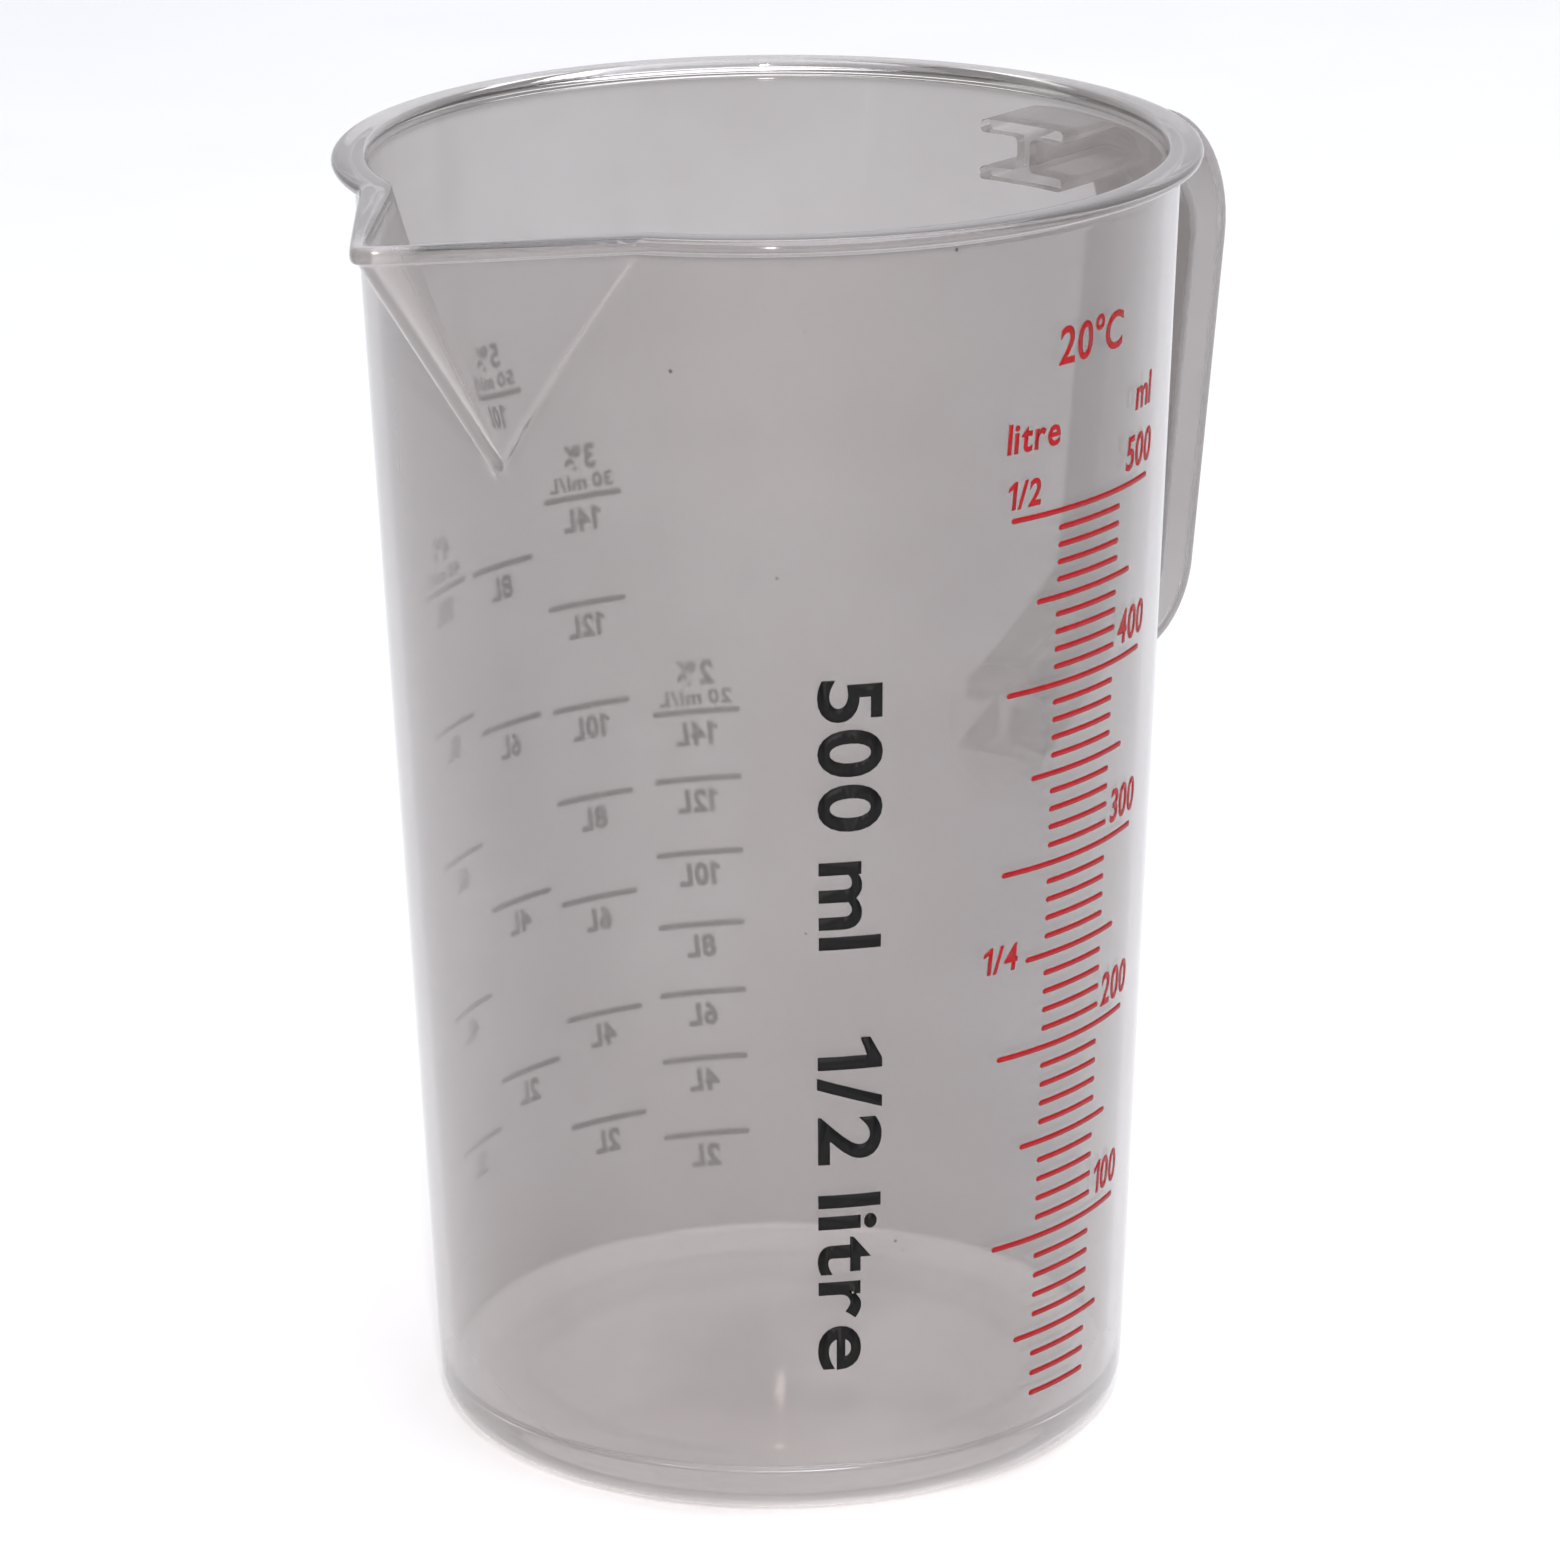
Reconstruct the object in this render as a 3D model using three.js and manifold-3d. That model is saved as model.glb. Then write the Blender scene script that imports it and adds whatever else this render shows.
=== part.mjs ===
// Measuring cup moulded in translucent plastic, with a printed volume scale.
// Millimetres, +Z up, standing on z = 0. The spout points along -X, the handle along +X
// and the scale faces -Y. The origin is the bottom centre of the bounding box.
import * as THREE from 'three';
import { ConvexGeometry } from 'three/addons/geometries/ConvexGeometry.js';
import { mergeVertices } from 'three/addons/utils/BufferGeometryUtils.js';
import Module from 'manifold-3d';

const wasm = await Module();
wasm.setup();

// Cup body. The two radii are those of the outer cone at the table and at the mouth.
const CUP_HEIGHT = 143;
const BASE_RADIUS = 37.9;
const MOUTH_RADIUS = 44.2;
const WALL = 1.5;
const BASE_CORNER = 5.4;
const FLOOR_TOP = 5.5;
const FLOOR_THICKNESS = 2;
const FLOOR_FILLET = 2.5;
const FOOT_INNER_RADIUS = 28.5;
const RECESS_DRAFT = 0.5;

// Rim bead, which follows the round mouth and the edges of the spout.
const RIM_OVERHANG = 2.3;
const RIM_HEIGHT = 1.8;
const RIM_ROUND = 0.8;

// Spout, a V between two corners of the rim that runs down to a blunt nose on the wall. Its faces leave the
// wall at an angle of their own, so the bead's overhang dies out towards the tip.
const SPOUT_REACH = 63.2;
const SPOUT_CORNER_ANGLE = THREE.MathUtils.degToRad(23.4);
const SPOUT_FACE_ANGLE = THREE.MathUtils.degToRad(26.5);
const SPOUT_TIP_ROUND = 1.6;
const SPOUT_TIP_LIP = 0.1;
const SPOUT_NOSE_HEIGHT = 115.2;
const SPOUT_NOSE_STAND = 0.8;
const SPOUT_ROOT_OVERLAP = 4;

// Handle, an I-section bent into a loop: two flanges joined by a web on the centre plane.
const HANDLE_REACH = 72.7;
const HANDLE_TOP = 137.4;
const HANDLE_DEPTH = 6.8;
const HANDLE_WIDTH = 12;
const HANDLE_TOP_BEND = 14.8;
const HANDLE_LOW_BEND = 11;
const HANDLE_LOW_CENTRE = 85;
const HANDLE_LEAN = THREE.MathUtils.degToRad(8.7);
const HANDLE_ARM_SLOPE = THREE.MathUtils.degToRad(27);
const FLANGE = 1.5;
const WEB = 1.8;
const FLANGE_EDGE = 0.4;
const HANDLE_CLEARANCE = 0.3;

// Printed scale. Volumes are in millilitres, line ends are angles either side of its centre.
const SCALE_FIRST = 20;
const SCALE_LAST = 500;
const SCALE_STEP = 10;
const SCALE_MEDIUM_STEP = 50;
const SCALE_LONG_STEP = 100;
const SCALE_TURN = THREE.MathUtils.degToRad(3);
const SHORT_LINE_HALF = THREE.MathUtils.degToRad(7.3);
const MEDIUM_LINE_HALF = THREE.MathUtils.degToRad(11.2);
const LONG_LINE_HALF = THREE.MathUtils.degToRad(16.3);
const LINE_HEIGHT = 0.6;
const INK_THICKNESS = 0.15;
const INK_CLEARANCE = 0.1;
const CUBIC_MM_PER_ML = 1000;

// Fineness of the curves and of the volume sum.
const TURN_SEGMENTS = 96;
const ARC_SEGMENTS = 6;
const BEVEL_SEGMENTS = 3;
const VOLUME_SLICES = 400;
const SOLVER_STEPS = 40;
const CUT_EXTRA = 2;

const PLASTIC = { color: 0xaba7a2, roughness: 0.28, metalness: 0 };
const RED_INK = { color: 0xb3141c, roughness: 0.5, metalness: 0 };

const RIGHT_ANGLE = Math.PI / 2;
const WALL_TAPER = (MOUTH_RADIUS - BASE_RADIUS) / CUP_HEIGHT;
const RIM_RADIUS = MOUTH_RADIUS + RIM_OVERHANG;
const AXIS_X = (SPOUT_REACH - HANDLE_REACH) / 2;

function outerRadius(z) {
  return BASE_RADIUS + WALL_TAPER * z;
}

// Radius of the space inside, with the fillet between wall and floor.
function innerRadius(z) {
  const drop = FLOOR_TOP + FLOOR_FILLET - z;
  if (drop <= 0) return outerRadius(z) - WALL;
  const tangentRadius = outerRadius(FLOOR_TOP + FLOOR_FILLET) - WALL;
  return tangentRadius - FLOOR_FILLET + Math.sqrt(Math.max(FLOOR_FILLET ** 2 - drop ** 2, 0));
}

function volumeBelow(z) {
  const slice = (z - FLOOR_TOP) / VOLUME_SLICES;
  let volume = 0;
  for (let i = 0; i < VOLUME_SLICES; i += 1) {
    volume += Math.PI * innerRadius(FLOOR_TOP + (i + 0.5) * slice) ** 2 * slice;
  }
  return volume / CUBIC_MM_PER_ML;
}

// Height that the liquid reaches, found by halving the span between floor and mouth.
function fillHeight(millilitres) {
  let low = FLOOR_TOP;
  let high = CUP_HEIGHT;
  for (let i = 0; i < SOLVER_STEPS; i += 1) {
    const middle = (low + high) / 2;
    if (volumeBelow(middle) < millilitres) low = middle;
    else high = middle;
  }
  return (low + high) / 2;
}

function toSolid(geometry) {
  const bare = geometry.index ? geometry.toNonIndexed() : geometry.clone();
  bare.deleteAttribute('normal');
  bare.deleteAttribute('uv');
  const welded = mergeVertices(bare);
  return new wasm.Manifold(new wasm.Mesh({
    numProp: 3,
    vertProperties: Float32Array.from(welded.attributes.position.array),
    triVerts: Uint32Array.from(welded.index.array),
  }));
}

function toGeometry(solid) {
  const mesh = solid.getMesh();
  const geometry = new THREE.BufferGeometry();
  geometry.setAttribute('position', new THREE.BufferAttribute(mesh.vertProperties, mesh.numProp));
  geometry.setIndex(new THREE.BufferAttribute(mesh.triVerts, 1));
  const faceted = geometry.toNonIndexed();
  faceted.computeVertexNormals();
  return faceted;
}

// A profile of [radius, height] points turned about the upright axis, its seam towards -Y.
function turned(profile) {
  const points = profile.map(([radius, z]) => new THREE.Vector2(radius, z));
  return toSolid(new THREE.LatheGeometry(points, TURN_SEGMENTS).rotateX(RIGHT_ANGLE));
}

// Points of a quarter circle that turns from the underside into the wall.
function cornerArc(wallRadius, bottom, round) {
  return Array.from({ length: ARC_SEGMENTS + 1 }, (_, i) => {
    const angle = RIGHT_ANGLE * (1 - i / ARC_SEGMENTS);
    return [wallRadius - round * (1 - Math.cos(angle)), bottom + round * (1 - Math.sin(angle))];
  });
}

// Outside of the cup without spout and rim, grown by a clearance where something seats on it.
function bodyOutside(clearance) {
  const recessTop = FLOOR_TOP - FLOOR_THICKNESS;
  return turned([
    [0, recessTop],
    [FOOT_INNER_RADIUS - RECESS_DRAFT, recessTop],
    [FOOT_INNER_RADIUS, 0],
    ...cornerArc(outerRadius(BASE_CORNER) + clearance, 0, BASE_CORNER),
    [outerRadius(CUP_HEIGHT) + clearance, CUP_HEIGHT],
    [0, CUP_HEIGHT],
  ]);
}

function bodyInside() {
  const top = CUP_HEIGHT + CUT_EXTRA;
  return turned([
    [0, FLOOR_TOP],
    ...cornerArc(innerRadius(FLOOR_TOP + FLOOR_FILLET), FLOOR_TOP, FLOOR_FILLET),
    [outerRadius(top) - WALL, top],
    [0, top],
  ]);
}

// Plan of the bead round the spout: its sides run from the corners of the rim to the tip.
const cornerX = RIM_RADIUS * Math.cos(SPOUT_CORNER_ANGLE);
const cornerY = RIM_RADIUS * Math.sin(SPOUT_CORNER_ANGLE);
const sideAngle = Math.atan2(cornerY, SPOUT_REACH - cornerX);
const roundBack = SPOUT_TIP_ROUND / Math.tan(sideAngle);
const sharpTip = SPOUT_REACH + SPOUT_TIP_ROUND / Math.sin(sideAngle) - SPOUT_TIP_ROUND;

// Plan of the spout's faces at the mouth, from the wall to their meeting line under the bead's tip.
const faceTip = SPOUT_REACH - SPOUT_TIP_LIP;
const faceRootX = MOUTH_RADIUS * Math.cos(SPOUT_FACE_ANGLE);
const faceRootY = MOUTH_RADIUS * Math.sin(SPOUT_FACE_ANGLE);
const faceAngle = Math.atan2(faceRootY, faceTip - faceRootX);

// Wedge of the spout, with its faces moved in by an inset.
function spoutWedge(inset, top) {
  const shift = inset / Math.sin(faceAngle);
  const tipX = faceTip - shift;
  const noseX = outerRadius(SPOUT_NOSE_HEIGHT) + SPOUT_NOSE_STAND - shift;
  const rootX = faceRootX - SPOUT_ROOT_OVERLAP;
  const rootY = (tipX - rootX) * Math.tan(faceAngle);
  const innerX = rootX - rootY;
  const points = [
    new THREE.Vector3(-noseX, 0, SPOUT_NOSE_HEIGHT),
    new THREE.Vector3(-innerX, 0, SPOUT_NOSE_HEIGHT),
  ];
  for (const z of [CUP_HEIGHT, top]) {
    points.push(new THREE.Vector3(-tipX, 0, z));
    points.push(new THREE.Vector3(-rootX, rootY, z));
    points.push(new THREE.Vector3(-rootX, -rootY, z));
    points.push(new THREE.Vector3(-innerX, 0, z));
  }
  return toSolid(new ConvexGeometry(points));
}

// Rounded plate in the outline of the mouth and spout, which the inside later opens.
function rimPlate() {
  const outline = new THREE.Shape();
  const sweep = Math.PI - SPOUT_CORNER_ANGLE;
  const backX = sharpTip - roundBack * Math.cos(sideAngle);
  const backY = roundBack * Math.sin(sideAngle);
  outline.absarc(0, 0, RIM_RADIUS, -sweep, sweep, false);
  outline.lineTo(-backX, backY);
  outline.absarc(
    SPOUT_TIP_ROUND - SPOUT_REACH,
    0,
    SPOUT_TIP_ROUND,
    RIGHT_ANGLE + sideAngle,
    -RIGHT_ANGLE - sideAngle,
    false,
  );
  outline.closePath();
  const plate = new THREE.ExtrudeGeometry(outline, {
    depth: RIM_HEIGHT - 2 * RIM_ROUND,
    curveSegments: TURN_SEGMENTS / 2,
    bevelThickness: RIM_ROUND,
    bevelSize: RIM_ROUND,
    bevelOffset: -RIM_ROUND,
    bevelSegments: BEVEL_SEGMENTS,
  });
  return toSolid(plate.translate(0, 0, CUP_HEIGHT - RIM_HEIGHT + RIM_ROUND));
}

function cupShell() {
  const outside = bodyOutside(0)
    .add(spoutWedge(0, CUP_HEIGHT))
    .add(rimPlate());
  const inside = bodyInside().add(spoutWedge(WALL, CUP_HEIGHT + CUT_EXTRA));
  return outside.subtract(inside);
}

// Side view of the handle's loop, with both of its edges moved in by an inset. The lower arm slopes down to the cup.
function loopOutline(inset) {
  const topX = HANDLE_REACH - HANDLE_TOP_BEND;
  const topZ = HANDLE_TOP - HANDLE_TOP_BEND;
  const lowZ = HANDLE_LOW_CENTRE;
  const bendChange = HANDLE_TOP_BEND - HANDLE_LOW_BEND;
  const lowX = topX + (bendChange + (lowZ - topZ) * Math.sin(HANDLE_LEAN)) / Math.cos(HANDLE_LEAN);
  const rootX = BASE_RADIUS - HANDLE_DEPTH;
  const far = HANDLE_DEPTH - inset;
  const armTurn = HANDLE_ARM_SLOPE - RIGHT_ANGLE;
  const armRootZ = (edge) => lowZ - (HANDLE_LOW_BEND - edge) / Math.cos(HANDLE_ARM_SLOPE)
    - (lowX - rootX) * Math.tan(HANDLE_ARM_SLOPE);
  const outline = new THREE.Shape();
  outline.moveTo(rootX, HANDLE_TOP - inset);
  outline.absarc(topX, topZ, HANDLE_TOP_BEND - inset, RIGHT_ANGLE, -HANDLE_LEAN, true);
  outline.absarc(lowX, lowZ, HANDLE_LOW_BEND - inset, -HANDLE_LEAN, armTurn, true);
  outline.lineTo(rootX, armRootZ(inset));
  outline.lineTo(rootX, armRootZ(far));
  outline.absarc(lowX, lowZ, HANDLE_LOW_BEND - far, armTurn, -HANDLE_LEAN, false);
  outline.absarc(topX, topZ, HANDLE_TOP_BEND - far, -HANDLE_LEAN, RIGHT_ANGLE, false);
  outline.lineTo(rootX, HANDLE_TOP - far);
  outline.closePath();
  return outline;
}

// Loop outline given a width across the handle, between two values of y, with rounded edges.
function loopBody(inset, nearY, farY, edge) {
  const body = new THREE.ExtrudeGeometry(loopOutline(inset), {
    depth: farY - nearY - 2 * edge,
    curveSegments: ARC_SEGMENTS,
    bevelEnabled: edge > 0,
    bevelThickness: edge,
    bevelSize: edge,
    bevelOffset: -edge,
    bevelSegments: BEVEL_SEGMENTS,
  });
  return toSolid(body.rotateX(RIGHT_ANGLE).translate(0, farY - edge, 0));
}

function handle() {
  const half = HANDLE_WIDTH / 2;
  const beyond = half + CUT_EXTRA;
  return loopBody(0, -half, half, FLANGE_EDGE)
    .subtract(loopBody(FLANGE, WEB / 2, beyond, 0))
    .subtract(loopBody(FLANGE, -beyond, -WEB / 2, 0))
    .subtract(bodyOutside(HANDLE_CLEARANCE));
}

// Ring of ink round the wall at one height, and the wedge that keeps one line of it.
function inkRing(z) {
  const low = z - LINE_HEIGHT / 2;
  const high = z + LINE_HEIGHT / 2;
  const lowRadius = outerRadius(low) + INK_CLEARANCE;
  const highRadius = outerRadius(high) + INK_CLEARANCE;
  return turned([
    [lowRadius, low],
    [lowRadius + INK_THICKNESS, low],
    [highRadius + INK_THICKNESS, high],
    [highRadius, high],
    [lowRadius, low],
  ]);
}

function lineWedge(halfAngle) {
  const length = 2 * MOUTH_RADIUS;
  const wedge = new THREE.Shape();
  wedge.moveTo(0, 0);
  for (const angle of [SCALE_TURN - halfAngle, SCALE_TURN + halfAngle]) {
    wedge.lineTo(length * Math.sin(angle), -length * Math.cos(angle));
  }
  wedge.closePath();
  return toSolid(new THREE.ExtrudeGeometry(wedge, { depth: CUP_HEIGHT, bevelEnabled: false }));
}

const part = new THREE.Group();
part.name = 'measuring_cup';
const cup = new THREE.Group();
cup.name = 'cup_about_its_axis';
cup.position.x = AXIS_X;
part.add(cup);

function addPiece(name, solid, finish) {
  const mesh = new THREE.Mesh(toGeometry(solid), new THREE.MeshStandardMaterial(finish));
  mesh.name = name;
  cup.add(mesh);
}

addPiece('cup_shell', cupShell(), PLASTIC);
addPiece('handle', handle(), PLASTIC);

// Scale lines, long at each hundred and medium at each fifty, as far up as the wall is plain.
const shortWedge = lineWedge(SHORT_LINE_HALF);
const mediumWedge = lineWedge(MEDIUM_LINE_HALF);
const longWedge = lineWedge(LONG_LINE_HALF);
const highestLine = CUP_HEIGHT - RIM_HEIGHT - LINE_HEIGHT;
for (let volume = SCALE_FIRST; volume <= SCALE_LAST; volume += SCALE_STEP) {
  const z = fillHeight(volume);
  if (z > highestLine) break;
  let wedge = shortWedge;
  if (volume % SCALE_MEDIUM_STEP === 0) wedge = mediumWedge;
  if (volume % SCALE_LONG_STEP === 0) wedge = longWedge;
  addPiece(`line_${String(volume).padStart(3, '0')}_ml`, inkRing(z).intersect(wedge), RED_INK);
}

export default part;
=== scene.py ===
import math

import bmesh
import bpy
from mathutils import Matrix, Vector


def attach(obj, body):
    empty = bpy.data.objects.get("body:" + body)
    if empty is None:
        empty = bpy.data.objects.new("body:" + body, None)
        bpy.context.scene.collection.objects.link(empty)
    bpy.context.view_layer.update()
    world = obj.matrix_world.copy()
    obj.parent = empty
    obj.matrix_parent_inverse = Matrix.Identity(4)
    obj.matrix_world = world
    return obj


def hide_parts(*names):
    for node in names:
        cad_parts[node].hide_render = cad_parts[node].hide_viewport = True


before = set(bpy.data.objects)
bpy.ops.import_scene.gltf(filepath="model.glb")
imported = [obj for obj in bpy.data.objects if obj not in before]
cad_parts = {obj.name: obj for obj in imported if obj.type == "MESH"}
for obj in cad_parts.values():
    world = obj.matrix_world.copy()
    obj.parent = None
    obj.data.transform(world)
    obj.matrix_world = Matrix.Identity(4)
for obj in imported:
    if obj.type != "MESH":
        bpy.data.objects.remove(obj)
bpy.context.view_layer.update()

# Sizes of the cup in millimetres, about its own axis: z up from the table, spout towards -x.
CUP_HEIGHT = 143
BASE_RADIUS = 37.9
MOUTH_RADIUS = 44.2
WALL = 1.5
BASE_CORNER = 5.4
FLOOR_TOP = 5.5
FLOOR_THICKNESS = 2
FLOOR_FILLET = 2.5
INNER_CORNER = 1.2
FLOOR_RISE = 0.9
FOOT_INNER_RADIUS = 28.5
RIM_OVERHANG = 2.3
RIM_HEIGHT = 1.8
RIM_RADIUS = MOUTH_RADIUS + RIM_OVERHANG
SPOUT_REACH = 63.2
SPOUT_CORNER_ANGLE = math.radians(23.4)
SPOUT_TIP_ROUND = 1.6
SPOUT_NOSE_HEIGHT = 115.2
HANDLE_REACH = 72.7
HANDLE_TOP = 137.4
HANDLE_DEPTH = 6.8
HANDLE_WIDTH = 12
HANDLE_TOP_BEND = 14.8
HANDLE_LOW_BEND = 11
HANDLE_LOW_CENTRE = 85
HANDLE_LEAN = math.radians(8.7)
HANDLE_ARM_SLOPE = math.radians(27)
FLANGE = 1.5
WEB = 1.8
SCALE_TURN = 3
AXIS_X = (SPOUT_REACH - HANDLE_REACH) / 2
WALL_TAPER = (MOUTH_RADIUS - BASE_RADIUS) / CUP_HEIGHT
MM = 0.001


def outer_radius(z):
    return BASE_RADIUS + WALL_TAPER * z


def to_row(x, y, z):
    """Point about the cup's axis in millimetres to the shared frame in metres."""
    return Vector(((x + AXIS_X) * MM, y * MM, z * MM))


def on_wall(azimuth, z, lift):
    """Point on the outer wall; azimuth in degrees from -y towards the handle."""
    turn = math.radians(azimuth)
    radius = outer_radius(z) + lift
    return to_row(radius * math.sin(turn), -radius * math.cos(turn), z)


def inner_radius(z):
    drop = FLOOR_TOP + FLOOR_FILLET - z
    if drop <= 0:
        return outer_radius(z) - WALL
    tangent = outer_radius(FLOOR_TOP + FLOOR_FILLET) - WALL
    return tangent - FLOOR_FILLET + math.sqrt(max(FLOOR_FILLET**2 - drop**2, 0))


def fill_height(millilitres):
    """Height that the liquid reaches, summed in slices up from the floor."""
    step = 0.02
    z = FLOOR_TOP
    volume = 0
    while volume < millilitres * 1000:
        z += step
        volume += math.pi * inner_radius(z) ** 2 * step
    return z


# Moulding: level outlines stacked from the middle of the underside, over the rim and down to the floor.

FOLD_COLUMNS = 16
ROUND_COLUMNS = 92
LEAST_FOLD = 0.9
CREASE_FILLET = 0.5

# Plan of the bead round the spout, as values of an outline: radius, sharp tip, slope of sides, rounding.
corner_x = RIM_RADIUS * math.cos(SPOUT_CORNER_ANGLE)
corner_y = RIM_RADIUS * math.sin(SPOUT_CORNER_ANGLE)
side_angle = math.atan2(corner_y, SPOUT_REACH - corner_x)
sharp_tip = SPOUT_REACH + SPOUT_TIP_ROUND / math.sin(side_angle) - SPOUT_TIP_ROUND
side_slope = 1 / math.tan(side_angle)
BEAD_PLAN = (RIM_RADIUS, sharp_tip, side_slope, (sharp_tip - SPOUT_REACH) / side_slope)

# Faces of the spout at its nose and at the mouth: reach of the keel, slope of the faces, rounding.
KEEL_REACH = (43.0, 63.5)
FACE_SLOPE = (1.08, 1.31)
KEEL_ROUND = (0.45, 1.3)


def between(first, last, share):
    return first + (last - first) * share


def spout_plan(z, inset):
    """Outline values of the wall and the spout's faces at a height, or of the skin set in from them."""
    share = (z - SPOUT_NOSE_HEIGHT) / (CUP_HEIGHT - SPOUT_NOSE_HEIGHT)
    slope = between(*FACE_SLOPE, share)
    ease = max(between(*KEEL_ROUND, share), 0)
    tip = between(*KEEL_REACH, share) + slope * ease - inset * math.hypot(1, slope)
    return outer_radius(z) - inset, tip, slope, ease


def fold_width(radius, tip, slope, ease):
    """Half width of the V at one height, out to where its faces meet the round wall."""
    if tip - slope * ease <= radius:
        return 0
    low, high = 0, radius * slope / math.hypot(1, slope)
    for _ in range(30):
        middle = (low + high) / 2
        if tip - slope * math.hypot(middle, ease) > math.sqrt(radius**2 - middle**2):
            low = middle
        else:
            high = middle
    return low


def level(plan, z):
    """Closed outline at one height: a circle with the V of the spout where its tip stands out."""
    radius, tip, slope, ease = plan
    fold = max(fold_width(*plan), min(LEAST_FOLD, radius / 3))
    half = []
    for i in range(FOLD_COLUMNS):
        y = fold * (0.5 - 0.5 * math.cos(math.pi * i / FOLD_COLUMNS))
        half.append((math.sqrt(radius**2 - y**2), y))
    start = math.asin(fold / radius)
    for i in range(ROUND_COLUMNS + 1):
        turn = start + (math.pi - start) * (i / ROUND_COLUMNS) ** 1.4
        half.append((radius * math.cos(turn), radius * math.sin(turn)))
    for i, (x, y) in enumerate(half[: FOLD_COLUMNS + 8]):
        on_side = tip - slope * math.hypot(y, ease)
        fillet = max(CREASE_FILLET - abs(x - on_side), 0) ** 2 / (4 * CREASE_FILLET)
        half[i] = (max(x, on_side) + fillet, y)
    other = [(x, -y) for x, y in half[-2:0:-1]]
    return [to_row(-x, y, z) for x, y in half + other]


def round_level(radius, z):
    return level((radius, 0, 1, 0), z)


def arc(centre, radius, first, last, steps):
    """Points of a circular arc between two angles in degrees."""
    turns = [math.radians(first + (last - first) * i / steps) for i in range(steps + 1)]
    return [(centre[0] + radius * math.cos(t), centre[1] + radius * math.sin(t)) for t in turns]


def wall_heights(low, high):
    """Heights of the levels up a wall, close together where the spout is folded out of it."""
    heights = [low + (SPOUT_NOSE_HEIGHT - 3 - low) * i / 24 for i in range(24)]
    heights += [SPOUT_NOSE_HEIGHT - 3 + 0.5 * i for i in range(16)]
    start = heights[-1] + 0.8
    steps = round((high - start) / 0.9)
    return heights + [start + (high - start) * i / steps for i in range(steps + 1)]


def moulding_levels():
    underside = FLOOR_TOP - FLOOR_THICKNESS
    levels = []
    for radius in (1.2, 14):
        levels.append(round_level(radius, underside))
    foot = arc((FOOT_INNER_RADIUS - 1.3, underside - 0.8), 0.8, 90, 0, 5)
    foot += arc((FOOT_INNER_RADIUS + 0.6, 0.6), 0.6, 180, 270, 5)
    draft = math.degrees(math.atan(WALL_TAPER))
    foot += arc((outer_radius(BASE_CORNER) - BASE_CORNER, BASE_CORNER), BASE_CORNER, 270, 360 - draft, 14)
    for radius, z in foot:
        levels.append(round_level(radius, z))
    bead_foot = CUP_HEIGHT - RIM_HEIGHT - 0.5
    for z in wall_heights(BASE_CORNER + 2, bead_foot):
        levels.append(level(spout_plan(z, 0), z))
    # Share of the bead's overhang and drop from the mouth, under the bead and then over it to the inside.
    under = [(0.06, -2.05), (0.22, -1.88), (0.5, -1.78), (0.78, -1.6), (0.93, -1.28), (0.985, -0.9)]
    for share, drop in under:
        z = CUP_HEIGHT + drop
        plan = [between(face, bead, share) for face, bead in zip(spout_plan(z, 0), BEAD_PLAN)]
        levels.append(level(plan, z))
    over = [(0.042, -0.52), (0.127, -0.22), (0.254, -0.05), (0.424, 0)]
    over += [(0.726, 0), (0.86, -0.06), (0.956, -0.25)]
    for share, drop in over:
        z = CUP_HEIGHT + drop
        plan = [between(bead, skin, share) for bead, skin in zip(BEAD_PLAN, spout_plan(z, WALL))]
        levels.append(level(plan, z))
    for z in reversed(wall_heights(FLOOR_TOP + INNER_CORNER + 1, CUP_HEIGHT - 0.7)):
        levels.append(level(spout_plan(z, WALL), z))
    tangent = outer_radius(FLOOR_TOP + INNER_CORNER) - WALL
    edge = tangent - INNER_CORNER
    tilt = math.degrees(math.atan(2 * FLOOR_RISE / edge))
    floor = arc((edge, FLOOR_TOP + INNER_CORNER), INNER_CORNER, -draft, tilt - 90, 8)
    # The floor rose a little in the middle as it cooled, so it mirrors a lamp as a spot.
    floor += [(r, FLOOR_TOP + FLOOR_RISE * (1 - (r / edge) ** 2)) for r in (28, 21, 14, 7, 1.2)]
    for radius, z in floor:
        levels.append(round_level(radius, z))
    return levels


def stacked(name, levels):
    """Mesh object that joins closed outlines of equal length, one after the other, and caps both ends."""
    mesh = bmesh.new()
    rings = [[mesh.verts.new(p) for p in points] for points in levels]
    count = len(rings[0])
    for low, high in zip(rings, rings[1:]):
        for i in range(count):
            j = (i + 1) % count
            mesh.faces.new((low[i], low[j], high[j], high[i]))
    mesh.faces.new(rings[0][::-1])
    mesh.faces.new(rings[-1])
    bmesh.ops.recalc_face_normals(mesh, faces=mesh.faces)
    return to_object(name, mesh)


def to_object(name, mesh):
    data = bpy.data.meshes.new(name)
    mesh.to_mesh(data)
    mesh.free()
    data.shade_smooth()
    made = bpy.data.objects.new(name, data)
    bpy.context.scene.collection.objects.link(made)
    return made


# Handle: an I-shaped section carried round the loop, its two ends let into the wall.


def i_section():
    """Outline of the section as (across, out) from its middle, with rounded edges and roots."""
    half, deep, web = HANDLE_WIDTH / 2, HANDLE_DEPTH / 2, WEB / 2
    edge, root = 0.55, 0.7
    quarter = [(0, deep)]
    quarter += arc((half - edge, deep - edge), edge, 90, 0, 4)
    quarter += arc((half - edge, deep - FLANGE + edge), edge, 0, -90, 4)
    quarter += arc((web + root, deep - FLANGE - root), root, 90, 180, 4)
    quarter += [(web, 0)]
    right = quarter + [(a, -b) for a, b in quarter[-2::-1]]
    return right + [(-a, b) for a, b in right[-2:0:-1]]


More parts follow.
